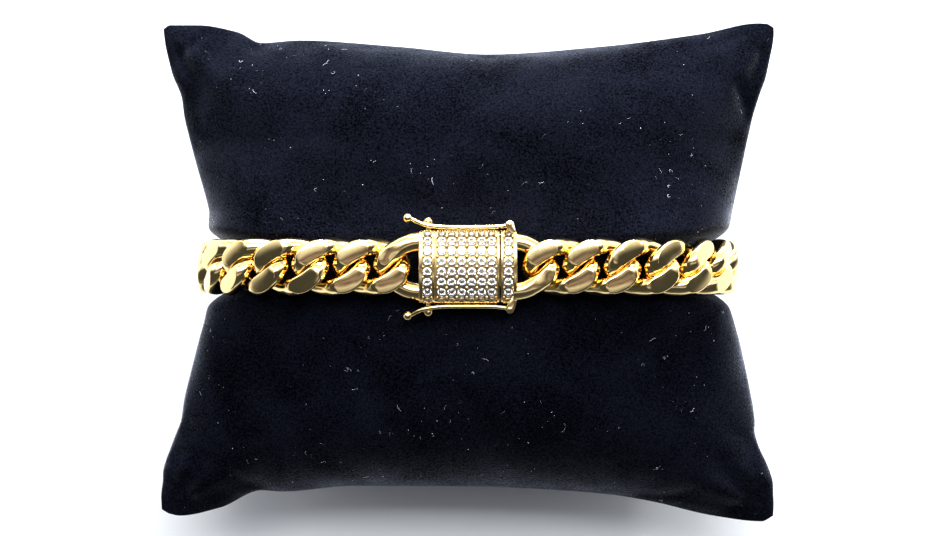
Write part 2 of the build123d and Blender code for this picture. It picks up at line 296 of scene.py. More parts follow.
@made_once
def polished_gold_plating(tree, shader):
    """Gold plating over brass, polished on felt wheels: a warm mirror, faintly uneven; the bed between
    the stones and the groove beside the bar are dull and darkened with painted shade.
    """
    gold = colours().gold
    bed_roughness, bed_shade = 0.42, 0.42
    place = add_node(tree, "ShaderNodeTexCoord").outputs["Object"]
    inputs = {"Vector": place, "Scale": 0.5 / MM, "Detail": 4.0, "Roughness": 0.6}
    wheel = add_node(tree, "ShaderNodeTexNoise", inputs)  # the wheel's marks, 2 mm down to 0.1 mm
    span = {"From Min": 0.3, "From Max": 0.75, "To Min": 0.05, "To Max": 0.16}
    spread = add_node(tree, "ShaderNodeMapRange", {"Value": wheel.outputs["Fac"], **span})
    # The mark below covers the bed between the stones and the groove beside the bar: they are rougher,
    # and their gold is darkened as painted shade.
    punched_and_shaded = add_node(  # the bed between the stones, left dull by the setter's punch
        tree, "ShaderNodeAttribute", attribute_name="punched_and_shaded", attribute_type="GEOMETRY"
    ).outputs["Fac"]
    inputs = {"Factor": punched_and_shaded, "A": spread.outputs["Result"], "B": bed_roughness}
    dull = add_node(tree, "ShaderNodeMix", inputs)
    # Painted shade: the marked bed and groove take the gold at bed_shade of its brightness.
    shaded = (*[bed_shade * c for c in gold], 1)
    inputs = {"Factor": punched_and_shaded, "A": (*gold, 1), "B": shaded}
    deep = add_node(tree, "ShaderNodeMix", inputs, data_type="RGBA")
    inputs = {"Vector": place, "Scale": 0.28 / MM, "Detail": 1.0}
    waves = add_node(tree, "ShaderNodeTexNoise", inputs)  # soft waves of the polishing, 4 mm long
    inputs = {"Height": waves.outputs["Fac"], "Strength": 0.25, "Distance": 0.12 * MM}
    bump = add_node(tree, "ShaderNodeBump", inputs)
    inputs = {
        "Base Color": deep.outputs["Result"],
        "Metallic": 1.0,
        "Roughness": dull.outputs["Result"],
        "Normal": bump.outputs["Normal"],
    }
    feed(tree, shader, inputs)


@made_once
def cut_cubic_zirconia(tree, shader):
    """Cubic zirconia, cut and polished: clear, with hard bright facets."""
    place = add_node(tree, "ShaderNodeTexCoord").outputs["Object"]
    inputs = {"Vector": place, "Scale": 1.5 / MM, "Detail": 2.0}
    wipe = add_node(tree, "ShaderNodeTexNoise", inputs)  # traces of polish left on the facets
    inputs = {"Value": wipe.outputs["Fac"], "To Min": 0.0, "To Max": 0.04}
    spread = add_node(tree, "ShaderNodeMapRange", inputs)
    inputs = {
        "Base Color": (*colours().stone, 1),
        "IOR": 2.15,
        "Transmission Weight": 1.0,
        "Roughness": spread.outputs["Result"],
    }
    feed(tree, shader, inputs)


@made_once
def sheared_black_velvet(tree, shader):
    """Cotton velvet, woven and sheared: near black from above, lighter where its pile leans."""
    flattened, upright = 0.38, 0.64
    place = add_node(tree, "ShaderNodeTexCoord").outputs["Object"]
    inputs = {"Vector": place, "Scale": 0.09 / MM, "Detail": 4.0, "Distortion": 0.6}
    brushed = add_node(tree, "ShaderNodeTexNoise", inputs)  # pile brushed in patches 11 mm wide
    inputs = {"Vector": place, "Scale": 3.4 / MM, "Detail": 3.0}
    tufts = add_node(tree, "ShaderNodeTexNoise", inputs)  # the pile's tufts, about 0.3 mm across
    inputs = {"Factor": 0.66, "A": brushed.outputs["Fac"], "B": tufts.outputs["Fac"]}
    share = add_node(tree, "ShaderNodeMix", inputs).outputs["Result"]
    span = {"From Min": flattened, "From Max": upright, "To Min": 0.3, "To Max": 1.9}
    light = add_node(tree, "ShaderNodeMapRange", {"Value": share, **span})
    tone = add_node(tree, "ShaderNodeValToRGB", {"Fac": share})
    for stop, position, factor in zip(tone.color_ramp.elements, (flattened, upright), (0.3, 3.5)):
        stop.position = position
        stop.color = (*[factor * c for c in colours().velvet], 1)
    inputs = {"Height": tufts.outputs["Fac"], "Strength": 0.5, "Distance": 0.12 * MM}
    bump = add_node(tree, "ShaderNodeBump", inputs)
    inputs = {
        "Base Color": tone.outputs["Color"],
        "Roughness": 1.0,
        "Specular IOR Level": 0.0,
        "Sheen Weight": light.outputs["Result"],
        "Sheen Roughness": 0.28,
        "Sheen Tint": (*colours().pile, 1),
        "Normal": bump.outputs["Normal"],
    }
    feed(tree, shader, inputs)


@made_once
def cotton_lint(tree, shader):
    """Cotton lint, rubbed off in wear: dull, pale fluff."""
    place = add_node(tree, "ShaderNodeTexCoord").outputs["Object"]
    inputs = {"Vector": place, "Scale": 0.4 / MM, "Detail": 1.0}
    mixed = add_node(tree, "ShaderNodeTexNoise", inputs)  # each bit paler or darker than the next
    tone = add_node(tree, "ShaderNodeValToRGB", {"Fac": mixed.outputs["Fac"]})
    for stop, position, factor in zip(tone.color_ramp.elements, (0.38, 0.66), (0.05, 0.85)):
        stop.position = position
        stop.color = (*[factor * c for c in colours().lint], 1)
    inputs = {"Base Color": tone.outputs["Color"], "Roughness": 0.9, "Specular IOR Level": 0.1}
    feed(tree, shader, inputs)


@made_once
def white_laminate(tree, shader):
    """Melamine laminate, pressed against a matt plate: white, with hardly a sheen."""
    feed(tree, shader, {"Base Color": (*colours().floor, 1), "Roughness": 0.6})


# The chain


def arc_points(start, way, end, count):
    """Points along the arc that leaves start along way and runs to end, with its tangents."""
    chord = end - start
    inward = chord - way * chord.dot(way)
    inward = inward / np.linalg.norm(inward)
    radius = chord.dot(chord) / (2 * chord.dot(inward))
    middle = start + inward * radius
    sweep = 2 * math.atan2(chord.dot(inward), chord.dot(way))
    turns = np.linspace(0, sweep, count)[:, None]
    points = middle - inward * radius * np.cos(turns) + way * radius * np.sin(turns)
    ways = way * np.cos(turns) + inward * np.sin(turns)
    return points, ways


def link_arcs(sizes, tip_count, side_count):
    """A quarter of a link's centre line: a tip arc and a side arc that share a tangent."""
    tip = np.array([(sizes.link_length - sizes.wire) / 2, 0, 0])
    side = np.array([0, (sizes.link_width - sizes.wire) / 2, 0])
    tip_way = np.array([0, math.cos(sizes.tip_lean), -math.sin(sizes.tip_lean)])
    side_way = np.array([-math.cos(sizes.side_lean), 0, math.sin(sizes.side_lean)])
    ways = tip_way * sizes.arc_share + side_way
    chord = side - tip
    roots = np.roots([ways @ ways - (1 + sizes.arc_share) ** 2, -2 * chord @ ways, chord @ chord])
    reach = min(r.real for r in roots if r.real > 0)
    from_tip = tip + tip_way * sizes.arc_share * reach
    from_side = side - side_way * reach
    meeting = (from_tip + from_side * sizes.arc_share) / (1 + sizes.arc_share)
    tip_arc = arc_points(tip, tip_way, meeting, tip_count)
    side_arc = arc_points(meeting, tip_arc[1][-1], side, side_count)
    return tip_arc, side_arc


# Points round the wire: across half a flat, round its rim, and from the front's rim to the back's
FLAT_STEPS, RIM_STEPS, ROUND_STEPS = 2, 4, 8
# Where a flat runs out, its points keep the spacing of a cut at this share of the radius
LEAST_CUT = 0.93
# A flat never reaches this angle from its middle
FLAT_LIMIT = 1.2
# A flat whose half width is this share of the radius, or more, has its whole swell
SWELL_WIDTH = 0.5


def rim_angles(depth, radius, rim):
    """Half the width of a flat cut at depth, and the angles where it and its rounded rim end."""
    reach = np.sqrt(np.maximum(0, (radius - rim) ** 2 - (depth - rim) ** 2))
    return reach, np.arctan2(reach, depth), np.arctan2(reach, depth - rim)


def section_angles(depth, radius, rim):
    """Angles from the flat's middle to the end of its rounded rim, for each ring."""
    _, flat_end, rim_end = rim_angles(np.minimum(depth, LEAST_CUT * radius), radius, rim)
    flat = [flat_end * n / FLAT_STEPS for n in range(FLAT_STEPS)]
    return flat + [flat_end + (rim_end - flat_end) * n / RIM_STEPS for n in range(RIM_STEPS + 1)]


def cut_radius(angle, depth, radius, rim, swell):
    """How far the cut wire's surface lies from its middle, at an angle from the flat."""
    reach, flat_end, rim_end = rim_angles(depth, radius, rim)
    on_flat = np.minimum(angle, FLAT_LIMIT)
    along = depth * np.tan(on_flat)
    bow = swell * np.maximum(0, 1 - (along / np.maximum(reach, 1e-6)) ** 2)
    bow = bow * np.minimum(1, reach / (SWELL_WIDTH * radius))
    flat = (depth + bow) / np.cos(on_flat)
    hub = radius - rim
    off = angle - rim_end
    rounded = hub * np.cos(off) + np.sqrt(np.maximum(0, rim**2 - (hub * np.sin(off)) ** 2))
    cut = np.where(angle <= flat_end, flat, np.where(angle < rim_end, rounded, radius))
    return np.where(depth < radius, cut, radius)


def skin(count, around, looped=False):
    """Faces over count rings of points, joined in a loop or with both ends closed."""
    faces = []
    for ring in range(count if looped else count - 1):
        here, following = ring * around, (ring + 1) % count * around
        for k in range(around):
            after = (k + 1) % around
            faces.append((here + k, here + after, following + after, following + k))
    if not looped:
        faces.append(tuple(range(around)))
        faces.append(tuple((count - 1) * around + k for k in range(around)))
    return faces


def ground_wire(points, ways, sizes, looped, lift=0.0):
    """The wire along a centre line, with flats ground on its front and back, lift further out."""
    radius, rim = sizes.wire / 2, sizes.rim
    strand = (sizes.link_width - sizes.wire) / 2
    lean = sizes.flat_lean * np.clip(points[:, 1] / strand, -1, 1)
    cut = np.stack([0 * lean, np.sin(lean), np.cos(lean)], axis=1)
    up = cut - ways * (ways * cut).sum(axis=1)[:, None]
    size = np.linalg.norm(up, axis=1)
    up = up / size[:, None]
    across = np.cross(ways, up)
    high = (points * cut).sum(axis=1)
    level = THICKNESS / 2 + lift + strand * np.abs(np.sin(lean))
    front, back = (level - high) / size, (THICKNESS / 2 + lift + high) / size
    top = section_angles(front, radius, rim)
    bottom = [math.pi - a for a in section_angles(back, radius, rim)][::-1]
    between = [top[-1] + (bottom[0] - top[-1]) * n / ROUND_STEPS for n in range(1, ROUND_STEPS)]
    half = np.array(top + between + bottom)
    angles = np.concatenate([half, -half[-2:0:-1]]).T
    plain = np.abs(angles)
    reach = np.minimum(
        cut_radius(plain, front[:, None], radius, rim, sizes.swell),
        cut_radius(math.pi - plain, back[:, None], radius, rim, sizes.swell),
    )
    rings = points[:, None] + reach[..., None] * (
        np.cos(angles)[..., None] * up[:, None] + np.sin(angles)[..., None] * across[:, None]
    )
    return rings.reshape(-1, 3), skin(*angles.shape, looped)


def link_line(sizes):
    """The closed centre line of one link, from four quarters turned about its axes."""
    tip_arc, side_arc = link_arcs(sizes, tip_count=14, side_count=8)
    points = np.concatenate([tip_arc[0], side_arc[0][1:]])
    ways = np.concatenate([tip_arc[1], side_arc[1][1:]])
    line, tangents = [], []
    for turn, forward in (((1, 1, 1), 1), ((-1, 1, -1), -1), ((-1, -1, 1), 1), ((1, -1, -1), -1)):
        line.append((points * turn)[::forward][:-1])
        tangents.append((ways * turn * forward)[::forward][:-1])
    return np.concatenate(line), np.concatenate(tangents)


def loop_curve():
    """The chain's closed line, from the clasp's middle along the front and round the back."""
    straight, radius = LOOP_STRAIGHT, LOOP_RADIUS
    half_turn_points = 241
    turns = np.linspace(0, math.pi, half_turn_points)
    right = [(straight + radius * math.sin(t), radius * math.cos(t)) for t in turns]
    left = [(-straight - radius * math.sin(t), -radius * math.cos(t)) for t in turns]
    path = [(0, radius), *right, *left]
    curve = bpy.data.curves.new("chain_loop", "CURVE")
    curve.dimensions = "3D"
    spline = curve.splines.new("POLY")
    spline.points.add(len(path) - 1)
    for point, (x, z) in zip(spline.points, path):
        point.co = (x, CHAIN_Y, LOOP_MIDDLE + z, 1)
    spline.use_cyclic_u = True
    return in_scene("chain_loop", curve)


def links_tree():
    """Geometry Nodes that set links along the loop at an even pitch."""
    tree, given = laying_tree("links_along_loop", {"Count": "Int", "First": "Float", "Pitch": "Float"})
    index = add_node(tree, "GeometryNodeInputIndex").outputs["Index"]
    inputs = {0: index, 1: given["Pitch"], 2: given["First"]}
    run = add_node(tree, "ShaderNodeMath", inputs, operation="MULTIPLY_ADD")
    inputs = {"Curves": given["Geometry"], "Length": run.outputs[0]}
    here = add_node(tree, "GeometryNodeSampleCurve", inputs, mode="LENGTH")
    way = add_node(tree, "ShaderNodeSeparateXYZ", {0: here.outputs["Tangent"]})
    down = add_node(tree, "ShaderNodeMath", {0: way.outputs["Z"], 1: -1.0}, operation="MULTIPLY")
    inputs = {0: down.outputs[0], 1: way.outputs["X"]}
    turn = add_node(tree, "ShaderNodeMath", inputs, operation="ARCTAN2")
    rotation = add_node(tree, "ShaderNodeCombineXYZ", {"Y": turn.outputs[0]})
    inputs = {"Count": given["Count"], "Position": here.outputs["Position"]}
    places = add_node(tree, "GeometryNodePoints", inputs)
    return end_tree(tree, given, {"Points": places.outputs[0], "Rotation": rotation.outputs[0]})


class BRACELET_OT_lay_chain(bpy.types.Operator):
    """Lay the twisted links round the loop"""

    bl_idname = "bracelet.lay_chain"
    bl_label = "Lay the chain"

    def execute(self, context):
        sizes = chain_sizes()
        link = mesh_object("one_link", *ground_wire(*link_line(sizes), sizes, looped=True))
        run = {"Count": len(LINKS), "First": sizes.first, "Pitch": sizes.pitch}
        chain = lay("chain_links", link, loop_curve(), links_tree(), polished_gold_plating(), **run)
        finish_piece(chain, nodes=LINKS)
        return {"FINISHED"}


# The clasp


class Shape:
    """Points and faces that are gathered into one mesh."""

    def __init__(self):
        self.points, self.faces, self.marks = [], [], []

    def add(self, points, faces, marks=None):
        start = len(self.points)
        self.points.extend(points)
        self.faces.extend(tuple(start + k for k in face) for face in faces)
        self.marks.extend([0.0] * len(points) if marks is None else marks)

    def rings(self, rings, marks=None):
        """Skins rings of points, and closes the first and last; marks are one for each point."""
        self.add([p for ring in rings for p in ring], skin(len(rings), len(rings[0])), marks)


def turned_rings(profile, axis_from, axis, around=20):
    """Rings of a profile of (distance along the axis, radius) turned about an axis."""
    axis = np.array(axis, float) / np.linalg.norm(axis)
    aslant = [0.3, 0.5, 0.81]
    side = np.cross(axis, aslant)
    side /= np.linalg.norm(side)
    other = np.cross(axis, side)
    turns = np.linspace(0, 2 * math.pi, around, endpoint=False)[:, None]
    circle = side * np.cos(turns) + other * np.sin(turns)
    start = np.array(axis_from, float)
    return [start + axis * along + circle * radius for along, radius in profile]


def ball_profile(radius, steps):
    """A ball's profile about its own middle."""
    turns = [math.pi * (n + 0.5) / steps for n in range(steps)]
    return [(-radius * math.cos(t), radius * math.sin(t)) for t in turns]


def smooth_path(points, rounds=4):
    """Cuts a path's corners again and again until it bends evenly."""
    path = np.array(points, float)
    for _ in range(rounds):
        near = path[:-1] * 0.75 + path[1:] * 0.25
        far = path[:-1] * 0.25 + path[1:] * 0.75
        inner = np.stack([near, far], axis=1).reshape(-1, 3)
        path = np.concatenate([path[:1], inner[1:-1], path[-1:]])
    return path


def tube_rings(path, radius, around=16):
    """Rings of a round wire along a path that never runs straight up."""
    ways = np.gradient(path, axis=0)
    ways /= np.linalg.norm(ways, axis=1)[:, None]
    side = np.cross(ways, [0, 0, 1.0])
    side /= np.linalg.norm(side, axis=1)[:, None]
    up = np.cross(side, ways)
    turns = np.linspace(0, 2 * math.pi, around, endpoint=False)[None, :, None]
    circle = side[:, None] * np.cos(turns) + up[:, None] * np.sin(turns)
    return list(path[:, None] + circle * radius)


# Along the clasp: its ends, the first stones, the bar beside them, the main stones, the seam and
# the cap's stones
CLASP_LEFT, CLASP_RIGHT = -7.0 * MM, 7.0 * MM
END_FIELD = (-6.45 * MM, -5.15 * MM)
BAR = (-5.15 * MM, -4.75 * MM)
MAIN_FIELD = (-4.50 * MM, 4.15 * MM)
SEAM = (4.50 * MM, 4.70 * MM)
CAP_FIELD = (5.05 * MM, 6.50 * MM)
FIELDS = ((END_FIELD, 1), (MAIN_FIELD, 6), (CAP_FIELD, 1))
# The depth of the groove beside the bar, and the depth past which a bed is punched and darkened with
# painted shade
GROOVE, PUNCHED_AND_SHADED = 0.5 * MM, 0.4 * MM
# The rounding of the clasp's back edges, and the angle past which its edges look sharp
HEEL = 0.6 * MM
CLASP_SHARP = math.radians(38)
# The pegs that the latches snap over, and the pins that they turn on: along, and out from the middle
PEG = (-5.74 * MM, 4.9 * MM)
PEG_LENGTH = 1.6 * MM
PEG_NECK = ((0, 0.36 * MM), (1.3 * MM, 0.34 * MM))
HINGE = (6.0 * MM, 6.05 * MM)
EAR_FOOT = (6.55 * MM, 4.7 * MM)
EAR_FOOT_RADIUS = 0.45 * MM
EAR_LEVELS = (1.35 * MM, -1.77 * MM)
PIN_TOP = 1.70 * MM
PIN_HEAD = ((0, 0.34 * MM), (0.10 * MM, 0.34 * MM), (0.18 * MM, 0.26 * MM), (0.22 * MM, 0.12 * MM))


def clasp_bow():
    """Centres of the clasp's crown and right shoulder, and the angle where the two arcs meet."""
    sizes = clasp_sizes()
    shoulder_y = sizes.half_width - sizes.shoulder
    middle = sizes.crown - sizes.crown_radius
    reach = sizes.crown_radius - sizes.shoulder
    shoulder_z = middle + math.sqrt(reach**2 - shoulder_y**2)
    return middle, shoulder_y, shoulder_z, math.atan2(shoulder_y, shoulder_z - middle)


def clasp_section():
    """Points round the clasp's outline, their outward normals, and how far each may be inset."""
    sizes = clasp_sizes()
    middle, shoulder_y, shoulder_z, lean = clasp_bow()

    def bend(y, z, radius, turns):
        ways = [(math.sin(t), math.cos(t)) for t in turns]
        return [(y + way[0] * radius, z + way[1] * radius, way) for way in ways]

    over, down, under = 18, 12, 6
    turns = [lean * n / over for n in range(-over, over + 1)]
    crown = bend(0, middle, sizes.crown_radius, turns)
    turns = [lean + (math.pi / 2 - lean) * n / down for n in range(1, down + 1)]
    right = bend(shoulder_y, shoulder_z, sizes.shoulder, turns)
    right.append((sizes.half_width, -0.5 * sizes.base, (1, 0)))
    turns = [math.pi / 2 * (1 + n / under) for n in range(under + 1)]
    right += bend(sizes.half_width - HEEL, HEEL - sizes.base, HEEL, turns)
    left = [(-y, z, (-way[0], way[1])) for y, z, way in reversed(right)]
    rows = [*crown, *right, *left]
    places = np.array([(0, y, z) for y, z, _ in rows])
    normals = np.array([(0, *way) for _, _, way in rows])
    steep, flat = 0.05, 0.30
    bed = np.clip((normals[:, 2] - steep) / (flat - steep), 0, 1)
    return places, normals, bed


def clasp_rings(stations):
    """Rings along the clasp from (x, inset all round, inset of the bed of stones)."""
    places, normals, bed = clasp_section()
    return [
        CLASP_MIDDLE + [x, 0, 0] + places - normals * (all_round + bed * depth)[:, None]
        for x, all_round, depth in stations
    ]


def bed_marks(stations):
    """A mark for each point of clasp_rings: 1 in the groove and on the punched beds, which are dull and
    darkened with painted shade.
    """
    _, _, bed = clasp_section()
    return [float(depth * share > PUNCHED_AND_SHADED) for _, _, depth in stations for share in bed]


# A rim's rounded edge: run along the clasp and drop below the rim, as shares of its radius
SOFT_EDGE = ((0.0, 1.0), (0.08, 0.6), (0.3, 0.29), (0.6, 0.08), (1.0, 0.0))


def onto_rim(x, edge, bed):
    """Stations from a bed of stones up to the rim that starts at x."""
    return [(x, 0.0, bed), *((x + edge * run, 0.0, edge * drop) for run, drop in SOFT_EDGE)]


def off_rim(x, edge, bed):
    """Stations from the rim that ends at x down to a bed of stones."""
    return [*((x - edge * run, 0.0, edge * drop) for run, drop in reversed(SOFT_EDGE)), (x, 0.0, bed)]


def closed_end(x, towards, edge):
    """Stations at an end of the clasp, its edge rounded all the way round."""
    count = 5
    turns = [math.pi / 2 * n / count for n in range(count + 1)]
    steps = [(x + towards * edge * (1 - math.sin(t)), edge * (1 - math.cos(t)), 0.0) for t in turns]
    return steps[::-1] if towards > 0 else steps


def clasp_shells(box, cap):
    """The box and the cap, with rims round their sunk beds of stones."""
    edge, bed = clasp_sizes().edge, clasp_sizes().bed
    box_stations = [
        *closed_end(CLASP_LEFT, 1, edge),
        *off_rim(END_FIELD[0], edge, bed),
        *onto_rim(BAR[0], edge, bed),
        *off_rim(BAR[1], edge, GROOVE),
        (MAIN_FIELD[0], 0, GROOVE),
        (MAIN_FIELD[0], 0, bed),
        *onto_rim(MAIN_FIELD[1], edge, bed),
        *closed_end(SEAM[0], -1, edge),
    ]
    cap_stations = [
        *closed_end(SEAM[1], 1, edge),
        *off_rim(CAP_FIELD[0], edge, bed),
        *onto_rim(CAP_FIELD[1], edge, bed),
        *closed_end(CLASP_RIGHT, -1, edge),
    ]
    for shape, stations in ((box, box_stations), (cap, cap_stations)):
        shape.rings(clasp_rings(stations), bed_marks(stations))


def levelled(values, free, rest):
    """Values that stay as they are up to free, and level off by rest beyond it at most."""
    size = np.abs(values)
    over = np.maximum(0, size - free)
    return np.sign(values) * (np.minimum(size, free) + rest * np.tanh(over / rest))


def half_link_line(sizes, inset):
    """The open centre line of the right half link, its arms run on into the clasp."""
    tip_points, kept, arm_steps, sunk = 34, 28, 8, 0.3 * MM
    tip_arc, _ = link_arcs(sizes, tip_points, side_count=2)
    points, ways = tip_arc[0][:kept], tip_arc[1][:kept]
    run = (points[-1][0] + inset + sunk) / abs(ways[-1][0])
    steps = np.linspace(0, run, arm_steps + 1)[1:, None]
    points = np.concatenate([points, points[-1] + ways[-1] * steps])
    line = np.concatenate([points[:0:-1] * [1, -1, -1], points])
    tip_x = points[0][0]
    bow, bow_start = 0.09, 1.4 * MM
    back = np.clip((tip_x - bow_start - line[:, 0]) / (tip_x + inset), 0, 1)
    line[:, 1] *= 1 + bow * np.sin(math.pi * back)
    line[:, 1] = levelled(line[:, 1], free=2.6 * MM, rest=1.1 * MM)
    line[:, 2] = levelled(line[:, 2], free=0.5 * MM, rest=0.6 * MM)
    tangents = np.gradient(line, axis=0)
    tangents /= np.linalg.norm(tangents, axis=1)[:, None]
    lift, lift_start, lift_whole = 0.35 * MM, 0.5 * MM, 2.8 * MM
    return line, tangents, lift * ramp(tip_x - line[:, 0], lift_start, lift_whole)


def half_links(box, cap):
    """The chain's last half links, soldered to both ends of the clasp."""
    for shape, inset, side in ((box, 0.95 * MM, -1), (cap, 0.5 * MM, 1)):
        line, ways, lift = half_link_line(chain_sizes(), inset)
        points, faces = ground_wire(line, ways, chain_sizes(), looped=False, lift=lift)
        place = CLASP_MIDDLE + [side * (CLASP_RIGHT + inset), 0, 0]
        shape.add(place + points * [side, side, 1], faces)


def tongue(cap):
    """The stub of the tongue that can be seen in the seam."""
    corners = ((-2.8, -1.2), (2.8, -1.2), (2.8, 0.3), (-2.8, 0.3))
    cap.rings([[CLASP_MIDDLE + np.array([x, y, z]) * MM for y, z in corners] for x in (4.2, 5.0)])


def peg(box, side):
    """A ball-headed peg on the box's side."""
    latch = latch_sizes()
    foot = CLASP_MIDDLE + [PEG[0], side * PEG[1], -latch.level]
    box.rings(turned_rings(PEG_NECK, foot, (0, side, 0)))
    top = foot + [0, side * PEG_LENGTH, 0]
    box.rings(turned_rings(ball_profile(latch.peg, 12), top, (0, side, 0)))


def hinge_ears(cap, side):
    """Two rounded plates from the cap's shoulder round the hinge pin, and the pin's head."""
    latch = latch_sizes()
    thick, soft = 0.42 * MM, 0.09 * MM
    way = math.atan2(EAR_FOOT[1] - HINGE[1], EAR_FOOT[0] - HINGE[0])
    outline = [
        (*middle, radius, math.cos(start + half_turn), math.sin(start + half_turn))
        for middle, radius, start in (
            (HINGE, latch.knuckle, way + math.pi / 2),
            (EAR_FOOT, EAR_FOOT_RADIUS, way - math.pi / 2),
        )
        for half_turn in np.linspace(0, math.pi, 13)
    ]
    layers = ((0, soft), (soft, 0), (thick - soft, 0), (thick - 0.3 * soft, 0.4 * soft), (thick, soft))
    for level in EAR_LEVELS:
        foot = level - latch.level
        cap.rings(
            [
                [
                    CLASP_MIDDLE
                    + [x + (radius - inset) * c, side * (y + (radius - inset) * s), foot + height]
                    for x, y, radius, c, s in outline
                ]
                for height, inset in layers
            ]
        )
    head = CLASP_MIDDLE + [HINGE[0], side * HINGE[1], -latch.level + PIN_TOP]
    cap.rings(turned_rings(PIN_HEAD, head, (0, 0, 1)))


class BRACELET_OT_build_clasp(bpy.types.Operator):
    """Build the clasp's box and its cap, with their half links, pegs and hinge ears"""

    bl_idname = "bracelet.build_clasp"
    bl_label = "Build the clasp"

    def execute(self, context):
        box, cap = Shape(), Shape()
        clasp_shells(box, cap)
        half_links(box, cap)
        tongue(cap)
        for side in (1, -1):
            peg(box, side)
            hinge_ears(cap, side)
        for name, shape, node in (
            ("clasp_box_plated", box, "clasp_box"),
            ("clasp_cap_plated", cap, "clasp_tongue"),
        ):
            piece = mesh_object(name, shape.points, shape.faces)
            piece.data.set_sharp_from_angle(angle=CLASP_SHARP)
            # The mark makes the bed and groove dull in the gold material, and paints shade on them.
            punched_and_shaded = piece.data.attributes.new("punched_and_shaded", "FLOAT", "POINT")
            punched_and_shaded.data.foreach_set("value", shape.marks)
            piece.data.materials.append(polished_gold_plating())
            finish_piece(piece, nodes=[node])
        return {"FINISHED"}


# The stones and their beads


def on_face(x, run, inset):
    """A place and its normal on the clasp's face, run round it from its middle."""
    sizes = clasp_sizes()
    middle, shoulder_y, shoulder_z, most = clasp_bow()
    crown, shoulder = sizes.crown_radius - inset, sizes.shoulder - inset
    lean = min(abs(run) / crown, most)
    y, z = crown * math.sin(lean), middle + crown * math.cos(lean)
    past = abs(run) - crown * most
    if past > 0:
        lean = most + past / shoulder
        y, z = shoulder_y + shoulder * math.sin(lean), shoulder_z + shoulder * math.cos(lean)
    side = 1 if run > 0 else -1
    return (x, CHAIN_Y + side * y, LOOP_TOP + z), (0, side * math.sin(lean), math.cos(lean))


def stone_seats():
    """Where stones sit: places, normals and sizes."""
    sizes = clasp_sizes()
    found = []
    for field, columns in FIELDS:
        for column in range(columns):
            x = sum(field) / 2 + (column - (columns - 1) / 2) * sizes.column
            for row in range(sizes.rows):
                run = (row - (sizes.rows - 1) / 2) * sizes.row
                found.append((*on_face(x, run, sizes.stone_sink), 1.0))
    return found


def bead_seats():
    """Where beads stand: between the stones, and smaller ones along both ends of their rows."""
    sizes = clasp_sizes()
    sink, end_shift, end_size = 0.20 * MM, 0.10 * MM, 0.72
    found = []
    for field, columns in FIELDS:
        for column in range(columns + 1):
            x = sum(field) / 2 + (column - columns / 2) * sizes.column
            inner = 0 < column < columns
            shift = 0 if inner else (end_shift if column == 0 else -end_shift)
            for row in range(sizes.rows + 1):
                run = (row - sizes.rows / 2) * sizes.row
                found.append((*on_face(x + shift, run, sink), 1.0 if inner else end_size))
    return found


def edge_grains():
    """Where small grains are punched, in rows along both edges of the clasp's face."""
    sizes = clasp_sizes()
    sink, step, size = 0.04 * MM, 0.34 * MM, 0.62
    row_count, row_step, beyond = 4, 0.31 * MM, 0.12
    found = []
    for low, high in (END_FIELD, MAIN_FIELD, CAP_FIELD):
        count = int((high - low) / step)
        for row in range(row_count):
            run = (sizes.rows / 2 + beyond) * sizes.row + row_step * row
            for side in (1, -1):
                for n in range(count):
                    x = low + (n + 0.5) * (high - low) / count
                    found.append((*on_face(x, side * run, sink), size))
    return found


def placed_points(name, seats):
    """A point cloud with a normal and a size for each seat."""
    places, normals, sizes = zip(*seats)
    mesh = bpy.data.meshes.new(name)
    mesh.from_pydata([tuple(map(float, place)) for place in places], [], [])
    for label, kind, field, values in (
        ("face_normal", "FLOAT_VECTOR", "vector", np.array(normals, float).ravel()),
        ("size", "FLOAT", "value", sizes),
    ):
        mesh.attributes.new(label, kind, "POINT").data.foreach_set(field, values)
    return in_scene(name, mesh)


def setting_tree():
    """Geometry Nodes that set one thing on every place, square to the face and freely spun."""
    tree, given = laying_tree("set_on_face", {"Seed": "Int"})
    inputs = {"Name": "face_normal"}
    normal = add_node(tree, "GeometryNodeInputNamedAttribute", inputs, data_type="FLOAT_VECTOR")
    size = add_node(tree, "GeometryNodeInputNamedAttribute", {"Name": "size"}, data_type="FLOAT")
    inputs = {"Vector": normal.outputs["Attribute"]}
    square = add_node(tree, "FunctionNodeAlignEulerToVector", inputs, axis="Z")
    inputs = {"Max": 2 * math.pi, "Seed": given["Seed"]}
    spin = add_node(tree, "FunctionNodeRandomValue", inputs, data_type="FLOAT")
    about = add_node(tree, "ShaderNodeCombineXYZ", {"Z": spin.outputs[1]})
    inputs = {"Rotation": square.outputs[0], "Rotate By": about.outputs[0]}
    turned = add_node(tree, "FunctionNodeRotateEuler", inputs, space="LOCAL")
    places = {
        "Points": given["Geometry"],
        "Rotation": turned.outputs[0],
        "Scale": size.outputs["Attribute"],
    }
    return end_tree(tree, given, places)


